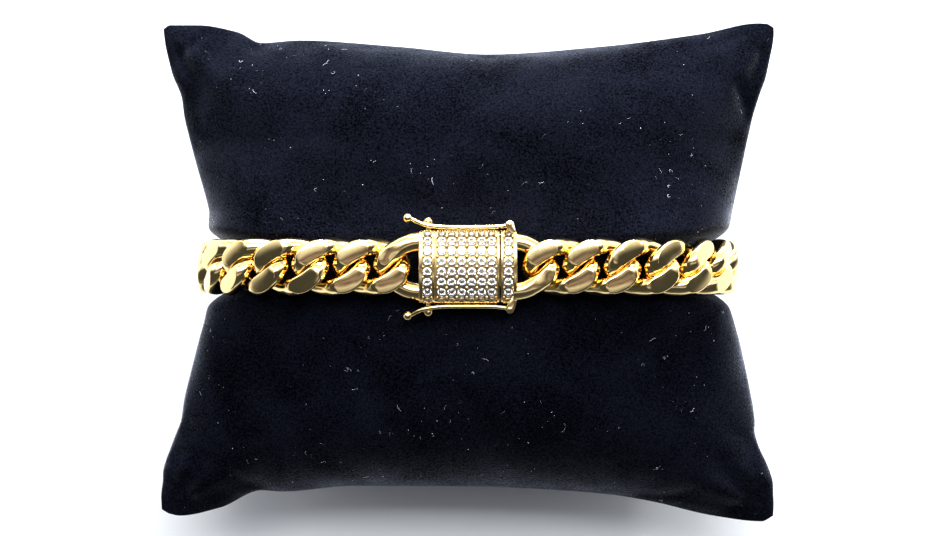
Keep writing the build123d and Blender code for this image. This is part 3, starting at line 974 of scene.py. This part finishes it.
def brilliant(radius):
    """A round brilliant: table, stars, kites, girdle and a pointed pavilion."""
    crown, girdle, pavilion = 0.30 * radius, 0.05 * radius, 0.78 * radius
    points = []
    for count, size, height, shift in (  # table, stars, both rims of the girdle, pavilion, culet
        (8, 0.56 * radius, crown, 0.0),
        (8, 0.80 * radius, 0.52 * crown, 0.5),
        (16, radius, girdle, 0.0),
        (16, radius, -girdle, 0.0),
        (8, 0.26 * radius, -girdle - 0.78 * pavilion, 0.5),
        (1, 0.0, -girdle - pavilion, 0.0),
    ):
        turns = [2 * math.pi * (n + shift) / count for n in range(count)]
        points += [(size * math.cos(t), size * math.sin(t), height) for t in turns]
    table, star, top, low, deep, culet = 0, 8, 16, 32, 48, 56
    faces = [tuple(range(8))]
    for n in range(8):
        after, before = (n + 1) % 8, (n - 1) % 8
        faces.append((table + n, star + n, table + after))
        faces.append((table + n, star + before, top + 2 * n, star + n))
        faces.append((star + n, top + 2 * n, top + 2 * n + 1))
        faces.append((star + n, top + 2 * n + 1, top + (2 * n + 2) % 16))
        faces.append((low + 2 * n, deep + before, culet, deep + n))
        faces.append((low + 2 * n, deep + n, low + 2 * n + 1))
        faces.append((low + 2 * n + 1, deep + n, low + (2 * n + 2) % 16))
    for n in range(16):
        faces.append((top + n, low + n, low + (n + 1) % 16, top + (n + 1) % 16))
    return points, faces


def domed_bead():
    """One bead on its post, its foot as deep as the bed."""
    radius, foot, neck, sunk = clasp_sizes().bead, 0.42 * MM, 0.10 * MM, 0.06 * MM
    post = [(-foot, 0.8 * radius), (-neck, radius)]
    dome = [(radius * math.sin(t) - sunk, radius * math.cos(t)) for t in (0.3, 0.65, 1.0, 1.3)]
    bead = Shape()
    bead.rings(turned_rings([*post, *dome], (0, 0, 0), (0, 0, 1), around=10))
    return mesh_object("one_bead", bead.points, bead.faces)


class BRACELET_OT_set_stones(bpy.types.Operator):
    """Set the stones in the clasp's face, and raise the beads that hold them"""

    bl_idname = "bracelet.set_stones"
    bl_label = "Set the stones"

    def execute(self, context):
        tree = setting_tree()
        stone = mesh_object("one_stone", *brilliant(clasp_sizes().stone / 2), smooth=False)
        places = placed_points("stone_places", stone_seats())
        stones = lay("set_stones", stone, places, tree, cut_cubic_zirconia(), Seed=4)
        finish_piece(stones, nodes=["stones_box", "stones_cap"])
        places = placed_points("bead_places", bead_seats() + edge_grains())
        beads = lay("setting_beads", domed_bead(), places, tree, polished_gold_plating(), Seed=9)
        finish_piece(beads)
        return {"FINISHED"}


# The latches

# A lever's wire from its hinge to its tip, in millimetres: along, out, and its share of the spread
LEVER_RUN = (
    (6.05, 6.10, 1.0),
    (5.2, 5.84, 1.0),
    (3.6, 5.70, 1.0),
    (0.0, 5.66, 1.0),
    (-3.2, 5.69, 1.0),
    (-5.3, 5.84, 1.0),
    (-6.6, 6.15, 0.92),
    (-7.5, 6.55, 0.55),
    (-8.1, 6.92, 0.22),
    (-8.7, 7.05, 0.0),
)
LEVER_SHARP = math.radians(50)


class BRACELET_OT_hang_latches(bpy.types.Operator):
    """Hang the two wire levers on their hinge pins"""

    bl_idname = "bracelet.hang_latches"
    bl_label = "Hang the latches"

    def execute(self, context):
        latch = latch_sizes()
        middle = CLASP_MIDDLE - [0, 0, latch.level]
        half, soft, slack = 1.3 * MM, 0.08 * MM, 0.02 * MM
        eye = latch.knuckle - slack
        barrel = [(-half, eye - soft), (-half + soft, eye), (half - soft, eye), (half, eye - soft)]
        for name, side in (("latch_top", 1), ("latch_bottom", -1)):
            lever = Shape()
            for turn in (1, -1):
                run = np.array(LEVER_RUN) * [1, side, turn * latch.spread / MM] * MM
                lever.rings(tube_rings(middle + smooth_path(run), latch.wire / 2))
            ball = turned_rings(ball_profile(latch.tip, 14), middle + run[-1], (0, 0, 1), around=24)
            lever.rings(ball)
            hinge = middle + [HINGE[0], side * HINGE[1], 0]
            lever.rings(turned_rings(barrel, hinge, (0, 0, 1), around=28))
            piece = mesh_object(name + "_wire", lever.points, lever.faces)
            piece.data.set_sharp_from_angle(angle=LEVER_SHARP)
            piece.data.materials.append(polished_gold_plating())
            finish_piece(piece, body=name, nodes=[name])
        return {"FINISHED"}


# The pillow, in millimetres

# Its rows from the chain outwards: distance from the chain's middle, half width, half thickness to
# the front and to the back, and how far it still follows the loop
PILLOW_ROWS = (
    (0.0, 37.4, 16.5, 16.5, 1.0),
    (1.8, 37.4, 16.5, 16.5, 1.0),
    (3.2, 37.4, 16.5, 16.5, 1.0),
    (4.0, 38.2, 16.5, 17.3, 1.0),
    (4.72, 39.3, 16.5, 18.4, 1.0),
    (6.1, 40.8, 16.5, 20.6, 0.85),
    (9.7, 41.8, 16.5, 22.3, 0.55),
    (14.6, 43.1, 16.5, 24.0, 0.2),
    (19.5, 44.4, 16.0, 23.5, 0.0),
    (24.0, 45.6, 14.5, 21.2, 0.0),
    (27.8, 46.6, 11.9, 17.2, 0.0),
    (31.0, 47.4, 8.4, 12.0, 0.0),
    (33.4, 48.0, 4.3, 6.2, 0.0),
    (34.8, 48.3, 0.35, 0.35, 0.0),
)
EDGE_MIDDLE = PILLOW_ROWS[-1][0]
# Its top and bottom edges as (across, distance from the middle), dipping where the seam puckers
TOP_EDGE = (
    *((-48.3, 37.9), (-47.4, 38.5), (-42.7, 38.5), (-36.3, 37.4), (-32.6, 35.7), (-26.6, 36.1)),
    *((-11.0, 35.1), (3.1, 33.9), (20.8, 35.1), (36.6, 37.1), (46.0, 38.8), (47.4, 38.7)),
    (48.3, 38.1),
)
BOTTOM_EDGE = (
    *((-48.3, 37.8), (-47.2, 38.5), (-45.6, 38.8), (-39.0, 37.5), (-32.6, 34.8), (-29.2, 35.0)),
    *((-18.2, 34.1), (0.8, 34.2), (11.3, 34.6), (21.9, 35.4), (28.7, 36.5), (38.7, 38.8)),
    *((46.6, 39.7), (47.4, 39.4), (48.3, 38.8)),
)
# How far its left and right edges lie outside the plain outline, as (up, left, right)
SIDE_EDGES = (
    *((-39.0, -0.3, -0.3), (-37.1, 0.15, 0.15), (-35.2, 0.6, 0.5), (-33.3, 0.8, 0.8)),
    *((-31.4, 1.1, 0.6), (-27.6, 0.6, -0.3), (-25.7, 0.3, -0.45), (-23.8, 0.0, 0.0)),
    *((-20.0, 0.3, 0.3), (-12.4, 0.15, 0.45), (-8.6, 0.0, 0.3), (10.0, -0.9, -0.1)),
    *((17.6, -0.6, -0.3), (23.3, -0.5, -0.4), (27.1, -0.8, -0.15), (30.9, -0.15, 0.3)),
    *((34.7, 0.0, 0.3), (36.6, -0.15, 0.15), (38.8, -0.4, -0.3)),
)
# Creases in its front, from one end to the other: across, up, across, up, depth and width
CREASES = (
    (-40.0, 38.0, -47.5, 32.0, 0.9, 1.0),
    (43.0, 38.4, 47.0, 32.4, 0.8, 1.0),
    (-48.0, -31.6, -42.0, -37.4, 0.9, 1.0),
    (47.6, -33.2, 40.6, -38.2, 0.9, 1.0),
    (-32.6, 36.4, -37.5, 31.0, 0.8, 1.2),
    (-32.4, -35.2, -37.5, -31.0, 0.8, 1.2),
    (42.0, 28.3, 44.6, 21.8, 0.7, 1.1),
    (26.4, -36.4, 35.2, -34.3, 0.6, 1.0),
    (3.1, 34.6, 2.2, 28.0, 0.7, 1.6),
    (44.6, -27.2, 40.0, -25.0, 0.6, 1.2),
)
# Its ears' tips, from which the gathers spread this far, and the size of its dents
EAR_TIP = (48.6, 38.9)
GATHERS_REACH, DENT_SIZE = 17, 19.0
# Where its seams run, and how far the sides come in from the ears' height to the waist
END_SEAM, SIDE_SEAM, EAR_UP, WAIST = 36.0, 48.3, 38, 6.0
# How far the puckers of its end and side seams reach in, and how much a crease fades to its end
END_PUCKERS, SIDE_PUCKERS, FADING = 5.0, 4.0, 0.6
# The chain holds the pillow up to the first of these distances, and lets it go by the second
HELD, FREE = 5.0, 9.0
SEAM_THICKNESS = 0.3
# How softly its back gives way to the table, and how far above the table top it rests
SAG, REST_GAP = 0.45, 0.05


def eased(table, at):
    """Values between a table's (where, value) rows, on a curve that never overshoots them."""
    where, value = (np.array(column, float) for column in zip(*table))
    step = np.diff(where)
    slope = np.diff(value) / step
    same = np.sign(slope[:-1]) * np.sign(slope[1:]) > 0
    mean = np.where(same, 2 * slope[:-1] * slope[1:] / np.where(same, slope[:-1] + slope[1:], 1), 0)
    ends = np.concatenate([slope[:1], mean, slope[-1:]])
    at = np.clip(at, where[0], where[-1])
    k = np.clip(np.searchsorted(where, at) - 1, 0, len(step) - 1)
    t = (at - where[k]) / step[k]
    return (
        value[k] * (1 + 2 * t) * (1 - t) ** 2
        + step[k] * ends[k] * t * (1 - t) ** 2
        + value[k + 1] * t**2 * (3 - 2 * t)
        + step[k] * ends[k + 1] * t**2 * (t - 1)
    )


def soft_noise(x, y, size, seed):
    """Smooth unevenness from -1 to 1, in lumps of about the given size."""
    total = 0
    for n in range(5):
        turn = seed * 1.7 + n * 1.26
        reach = 2 * math.pi / (size * (0.75 + 0.22 * n))
        along, across = x * math.cos(turn) + y * math.sin(turn), y * math.cos(turn) - x * math.sin(turn)
        total = total + np.sin(along * reach + 1.3 * np.sin(across * reach * 0.6 + seed) + n * 2.1)
    return total / 5


def velvet_relief(x, y, face):
    """How far the velvet lies above the plain pillow, in millimetres: never far above it."""
    looks = pillow_looks()
    seed = 1 if face > 0 else 7
    relief = looks.dents / MM * (soft_noise(x, y, DENT_SIZE, seed) - 0.75)
    for k, (side_x, side_y) in enumerate(((1, 1), (-1, 1), (-1, -1), (1, -1))):
        along, up = EAR_TIP[0] - side_x * x, EAR_TIP[1] - side_y * y
        far = np.hypot(along, up)
        turn = np.arctan2(np.maximum(up, 0), np.maximum(along, 0))
        folds = np.sin(8.5 * turn + 1.1 * k + seed) + 0.6 * np.sin(15 * turn + 2.3 * k)
        folds = folds * ramp(far, 1, 7) * np.exp(-((far / GATHERS_REACH) ** 2))
        relief = relief + looks.gathers / MM * folds
    in_from_end = np.maximum(0, END_SEAM - np.abs(y)) / END_PUCKERS
    waist = WAIST * (1 - np.abs(y) / EAR_UP)
    in_from_side = np.maximum(0, SIDE_SEAM - np.abs(x) - waist) / SIDE_PUCKERS
    waves = np.sin(x * 0.83 + 1.7 * np.sin(x * 0.21 + seed)) * np.exp(-(in_from_end**2))
    waves = waves + np.sin(y * 0.9 + 1.4 * np.sin(y * 0.27 + seed)) * np.exp(-(in_from_side**2))
    relief = relief + looks.puckers / MM * waves
    for x1, y1, x2, y2, depth, width in CREASES if face > 0 else ():
        reach = np.array([x2 - x1, y2 - y1])
        share = np.clip(((x - x1) * reach[0] + (y - y1) * reach[1]) / (reach @ reach), 0, 1)
        off = np.hypot(x - x1 - share * reach[0], y - y1 - share * reach[1])
        relief = relief - depth * np.exp(-((off / width) ** 2)) * (1 - FADING * share)
    return relief


def pillow_face(face, columns, rows):
    """A grid of points over the pillow's front, face 1, or its back, face -1."""
    over = np.linspace(-1, 1, 2 * columns + 1)[None, :]
    share, sign = np.abs(over), np.sign(over)
    lens_fall, corner_pull = 1.2, 1.5
    up = np.linspace(-1, 1, 2 * rows + 1)[:, None]
    place = np.abs(up) * (len(PILLOW_ROWS) - 1)
    way = np.where(up >= 0, 1.0, -1.0)
    off, width, front, back, loop = (
        eased(list(enumerate(column)), place) for column in zip(*PILLOW_ROWS)
    )
    height = front if face > 0 else back
    straight = width - height
    run = share * (straight + height * math.pi / 2)
    turn = np.maximum(0, (run - straight) / height)
    lens = share * math.pi / 2
    x = loop * (np.minimum(run, straight) + height * np.sin(turn)) + (1 - loop) * width * np.sin(lens)
    rise = loop * np.cos(turn) + (1 - loop) * np.maximum(0, np.cos(lens)) ** lens_fall
    x = x * sign
    out = off / EDGE_MIDDLE
    edge = np.where(way > 0, eased(TOP_EDGE, x), eased(BOTTOM_EDGE, x))
    y = CHAIN_Y / MM * (1 - out) + way * out * (EDGE_MIDDLE + (edge - EDGE_MIDDLE) * out**corner_pull)
    left, right = (eased([(row[0], row[k]) for row in SIDE_EDGES], y) for k in (1, 2))
    outside = np.where(x < 0, -left, right) * ramp(off, HELD, FREE)
    x = x + outside * ramp(np.abs(x) / width, 0.75, 1.0)
    deep = SEAM_THICKNESS + np.maximum(0, height - SEAM_THICKNESS) * np.maximum(0, rise)
    free = ramp(off, HELD, FREE) * ramp(deep, 0.3, 4.0)
    deep = np.maximum(SEAM_THICKNESS, deep + free * velvet_relief(x, y, face))
    if face < 0:  # it rests flat on the table
        table = LOOP_MIDDLE / MM - REST_GAP
        deep = np.maximum(SEAM_THICKNESS, table - np.logaddexp(0, (table - deep) / SAG) * SAG)
    z = LOOP_MIDDLE / MM + face * deep
    return np.stack([x + 0 * z, y + 0 * z, z], axis=-1) * MM


class BRACELET_OT_stuff_pillow(bpy.types.Operator):
    """Stuff and sew the velvet pillow that the bracelet is closed round"""

    bl_idname = "bracelet.stuff_pillow"
    bl_label = "Stuff the pillow"

    def execute(self, context):
        columns, rows = 76, 112
        front, back = pillow_face(1, columns, rows), pillow_face(-1, columns, rows)
        down, across = front.shape[:2]
        cells = [
            (r * across + c, r * across + c + 1, (r + 1) * across + c + 1, (r + 1) * across + c)
            for r in range(down - 1)
            for c in range(across - 1)
        ]
        pillow = Shape()
        pillow.add(front.reshape(-1, 3), cells)
        pillow.add(back.reshape(-1, 3), [cell[::-1] for cell in cells])
        rim = list(range(across))
        rim += [r * across + across - 1 for r in range(1, down)]
        rim += [(down - 1) * across + c for c in range(across - 2, -1, -1)]
        rim += [r * across for r in range(down - 2, 0, -1)]
        behind = down * across
        for here, after in zip(rim, rim[1:] + rim[:1]):
            pillow.faces.append((here, after, behind + after, behind + here))
        piece = mesh_object("velvet_pillow", pillow.points, pillow.faces)
        piece.data.materials.append(sheared_black_velvet())
        finish_piece(piece, nodes=["pillow"])
        return {"FINISHED"}


# The lint


def lint_tree():
    """Geometry Nodes that strew one thing over the side of the velvet that faces up."""
    steepest = 0.25  # the least upward part of a normal where lint still lies
    sockets = {"Density": "Float", "Smallest": "Float", "Seed": "Int"}
    tree, given = laying_tree("lint_on_velvet", sockets)
    normal = add_node(tree, "GeometryNodeInputNormal")
    up = add_node(tree, "ShaderNodeSeparateXYZ", {0: normal.outputs["Normal"]})
    inputs = {0: up.outputs["Z"], 1: steepest}
    faces_up = add_node(tree, "FunctionNodeCompare", inputs, operation="GREATER_THAN")
    drift = add_node(tree, "ShaderNodeTexNoise", {"Scale": 0.11 / MM, "Detail": 2.0})
    span = {"From Min": 0.45, "From Max": 0.72, "To Max": given["Density"]}
    thick = add_node(tree, "ShaderNodeMapRange", {"Value": drift.outputs["Fac"], **span})
    inputs = {
        "Mesh": given["Geometry"],
        "Selection": faces_up.outputs["Result"],
        "Density": thick.outputs["Result"],
        "Seed": given["Seed"],
    }
    strewn = add_node(tree, "GeometryNodeDistributePointsOnFaces", inputs)
    inputs = {"Min": given["Smallest"], "Max": 1.0, "Seed": given["Seed"]}
    size = add_node(tree, "FunctionNodeRandomValue", inputs, data_type="FLOAT")
    inputs = {0: (0, 0, 0), 1: (0, 0, 2 * math.pi), "Seed": given["Seed"]}
    spin = add_node(tree, "FunctionNodeRandomValue", inputs, data_type="FLOAT_VECTOR")
    inputs = {"Rotation": strewn.outputs["Rotation"], "Rotate By": spin.outputs[0]}
    turned = add_node(tree, "FunctionNodeRotateRotation", inputs, rotation_space="LOCAL")
    places = {
        "Points": strewn.outputs["Points"],
        "Rotation": turned.outputs["Rotation"],
        "Scale": size.outputs[1],
    }
    return end_tree(tree, given, places)


def lint_speck():
    """A flake of lint, nearly twice as long as wide."""
    flake = [(-0.03 * MM, 0.04 * MM), (0.0, 0.10 * MM), (0.04 * MM, 0.08 * MM), (0.06 * MM, 0.03 * MM)]
    speck = Shape()
    speck.rings(turned_rings(flake, (0, 0, 0), (0, 0, 1), around=6))
    ahead, behind, narrow = 1.3, 0.9, 0.6
    points = [(x * (ahead if x > 0 else behind), narrow * y, z) for x, y, z in speck.points]
    return mesh_object("one_speck", points, speck.faces)


def lint_fibre(turn, wave):
    """A fibre that turns steadily by an angle and waves on its way."""
    length, radius = 1.2 * MM, 0.026 * MM
    run = np.linspace(0, 1, 22)
    heading = turn * run + wave * np.sin(5 * run)
    line = np.stack([np.cos(heading), np.sin(heading), 0.15 * np.sin(4 * run)], axis=-1)
    fibre = Shape()
    fibre.rings(tube_rings(np.cumsum(line, axis=0) * (length / len(run)), radius, around=5))
    return mesh_object("one_fibre", fibre.points, fibre.faces)


class BRACELET_OT_strew_lint(bpy.types.Operator):
    """Strew specks and curled fibres of lint over the velvet"""

    bl_idname = "bracelet.strew_lint"
    bl_label = "Strew lint"

    def execute(self, context):
        looks = pillow_looks()
        tree = lint_tree()
        velvet = bpy.data.objects["velvet_pillow"].data
        for name, thing, density, smallest, seed in (
            ("lint_specks", lint_speck(), looks.specks, 0.25, 21),
            ("lint_fibres_1", lint_fibre(2.2, 0.5), looks.fibres / 3, 0.35, 33),
            ("lint_fibres_2", lint_fibre(3.4, -0.35), looks.fibres / 3, 0.35, 34),
            ("lint_fibres_3", lint_fibre(1.2, 0.9), looks.fibres / 3, 0.35, 35),
        ):
            ground = in_scene(name, velvet.copy())
            strewn = {"Density": density, "Smallest": smallest, "Seed": seed}
            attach(lay(name, thing, ground, tree, cotton_lint(), **strewn), BODY)
        return {"FINISHED"}


# The stage


def white_room():
    """A room with a bright far side, and the dull bands of its ceiling overhead."""
    world = bpy.data.worlds.new("white_room")
    world.use_nodes = True
    tree = world.node_tree
    way = add_node(tree, "ShaderNodeTexCoord").outputs["Generated"]
    along = add_node(tree, "ShaderNodeSeparateXYZ", {0: way}).outputs
    part = {}
    for name, axis, start, whole in (  # where each part of the room starts and is whole
        ("far", "Y", 0.06, 0.46),
        ("high", "Z", 0.10, 0.55),
        ("low", "Z", 0.34, 0.12),
        ("ahead", "Y", -0.5, 0.4),
        ("overhead", "Z", 0.89, 0.95),
    ):
        inputs = {"Value": along[axis], "From Min": start, "From Max": whole}
        rising = add_node(tree, "ShaderNodeMapRange", inputs, interpolation_type="SMOOTHSTEP")
        part[name] = rising.outputs["Result"]
    inputs = {0: part["far"], 1: part["high"]}
    lit = add_node(tree, "ShaderNodeMath", inputs, operation="MULTIPLY")

    # The ceiling's bands run across, wavy and uneven
    lumps, waviness, middle, reach = (4.5, 2.5, 0.0), 0.34, 0.17, 0.33
    inputs = {0: way, 1: lumps}
    spread = add_node(tree, "ShaderNodeVectorMath", inputs, operation="MULTIPLY")
    inputs = {"Vector": spread.outputs[0], "Scale": 1.0, "Detail": 2.0}
    uneven = add_node(tree, "ShaderNodeTexNoise", inputs)
    inputs = {0: uneven.outputs["Fac"], 1: waviness, 2: along["Y"]}
    shift = add_node(tree, "ShaderNodeMath", inputs, operation="MULTIPLY_ADD")
    inputs = {"Value": shift.outputs[0], "From Min": middle - reach, "From Max": middle + reach}
    place = add_node(tree, "ShaderNodeMapRange", inputs)
    bands = add_node(tree, "ShaderNodeValToRGB", {"Fac": place.outputs["Result"]})
    stops = bands.color_ramp.elements
    stops[0].position, stops[0].color = 0.0, (0.40, 0.42, 0.45, 1)
    stops[1].position, stops[1].color = 1.0, (1.35, 1.4, 1.5, 1)
    for position, shade in (
        (0.20, (0.85, 0.88, 0.95)),
        (0.29, (0.40, 0.31, 0.35)),
        (0.34, (0.09, 0.08, 0.09)),
        (0.40, (0.46, 0.37, 0.40)),
        (0.49, (0.09, 0.10, 0.10)),
        (0.58, (0.34, 0.27, 0.30)),
        (0.66, (0.66, 0.70, 0.78)),
        (0.82, (1.05, 1.1, 1.2)),
    ):
        stops.new(position).color = (*shade, 1)

    shades = {"ceiling": bands.outputs["Color"]}
    for name, share, first, second in (
        ("walls", lit.outputs[0], (0.06, 0.065, 0.07, 1), (1.5, 1.55, 1.65, 1)),
        ("skirting", part["ahead"], (0.15, 0.16, 0.17, 1), (1.7, 1.75, 1.85, 1)),
        ("sides", part["low"], "walls", "skirting"),
        ("room", part["overhead"], "sides", "ceiling"),
    ):
        pair = {"A": shades.get(first, first), "B": shades.get(second, second)}
        mixed = add_node(tree, "ShaderNodeMix", {"Factor": share, **pair}, data_type="RGBA")
        shades[name] = mixed.outputs["Result"]
    feed(tree, tree.nodes["Background"], {"Color": shades["room"]})
    return world


# Lights: place, size and watts
LIGHTS = {
    "window": ((0.0, 0.24, 0.56), (0.56, 0.20), 3.0),
    "left_lamp": ((-0.42, 0.30, 0.26), (0.16, 0.3), 0.4),
    "right_lamp": ((0.42, 0.30, 0.26), (0.16, 0.3), 0.6),
    "rear_lamp": ((0.06, 0.60, 0.15), (0.3, 0.08), 13.0),
}
LIT_PLACE = (0, 0, 0.03)
CAMERA_PLACE = (0.29 * MM, 0.23 * MM, 240 * MM)
TABLE_HALF = 0.6


class BRACELET_OT_light_stage(bpy.types.Operator):
    """Lay the white table top, hang the soft lights and aim the camera straight down"""

    bl_idname = "bracelet.light_stage"
    bl_label = "Light the stage"

    def execute(self, context):
        scene = context.scene
        corners = [(x * TABLE_HALF, y * TABLE_HALF, 0) for x, y in ((-1, -1), (1, -1), (1, 1), (-1, 1))]
        floor = mesh_object("table_top", corners, [(0, 1, 2, 3)])
        floor.data.materials.append(white_laminate())

        scene.world = white_room()
        scene.view_settings.view_transform = "Standard"
        for name, (place, size, watts) in LIGHTS.items():
            light = bpy.data.lights.new(name, "AREA")
            light.shape = "RECTANGLE"
            light.size, light.size_y = size
            light.energy = watts
            lamp = in_scene(name, light)
            lamp.location = place
            aim = Vector(LIT_PLACE) - Vector(place)
            lamp.rotation_euler = aim.to_track_quat("-Z", "Y").to_euler()

        camera = bpy.data.cameras.new("camera")
        camera.sensor_width = 36.0
        camera.lens = 53.1
        camera.clip_start = 0.01
        scene.camera = in_scene("camera", camera)
        scene.camera.location = CAMERA_PLACE
        return {"FINISHED"}


OPERATORS = (
    BRACELET_OT_lay_chain,
    BRACELET_OT_build_clasp,
    BRACELET_OT_set_stones,
    BRACELET_OT_hang_latches,
    BRACELET_OT_stuff_pillow,
    BRACELET_OT_strew_lint,
    BRACELET_OT_light_stage,
)
GROUPS = {
    "bracelet_chain": ChainSizes,
    "bracelet_clasp": ClaspSizes,
    "bracelet_latches": LatchSizes,
    "bracelet_pillow": PillowLooks,
    "bracelet_colours": Colours,
}


class VIEW3D_PT_bracelet(bpy.types.Panel):
    """Lists the bracelet's sizes and colours, and the operators that build it"""

    bl_label = "Bracelet"
    bl_idname = "VIEW3D_PT_bracelet"
    bl_space_type = "VIEW_3D"
    bl_region_type = "UI"
    bl_category = "Bracelet"

    def draw(self, context):
        for label, group in GROUPS.items():
            box = self.layout.box()
            for name in group.__annotations__:
                box.prop(getattr(context.scene, label), name)
        for operator in OPERATORS:
            self.layout.operator(operator.bl_idname)


CLASSES = (*GROUPS.values(), *OPERATORS, VIEW3D_PT_bracelet)


def register():
    for item in CLASSES:
        bpy.utils.register_class(item)
    for label, group in GROUPS.items():
        setattr(bpy.types.Scene, label, bpy.props.PointerProperty(type=group))


def unregister():
    for label in GROUPS:
        delattr(bpy.types.Scene, label)
    for item in reversed(CLASSES):
        bpy.utils.unregister_class(item)


def main():
    register()
    for operator in OPERATORS:
        getattr(bpy.ops.bracelet, operator.bl_idname.split(".")[1])()


if __name__ == "__main__":
    main()
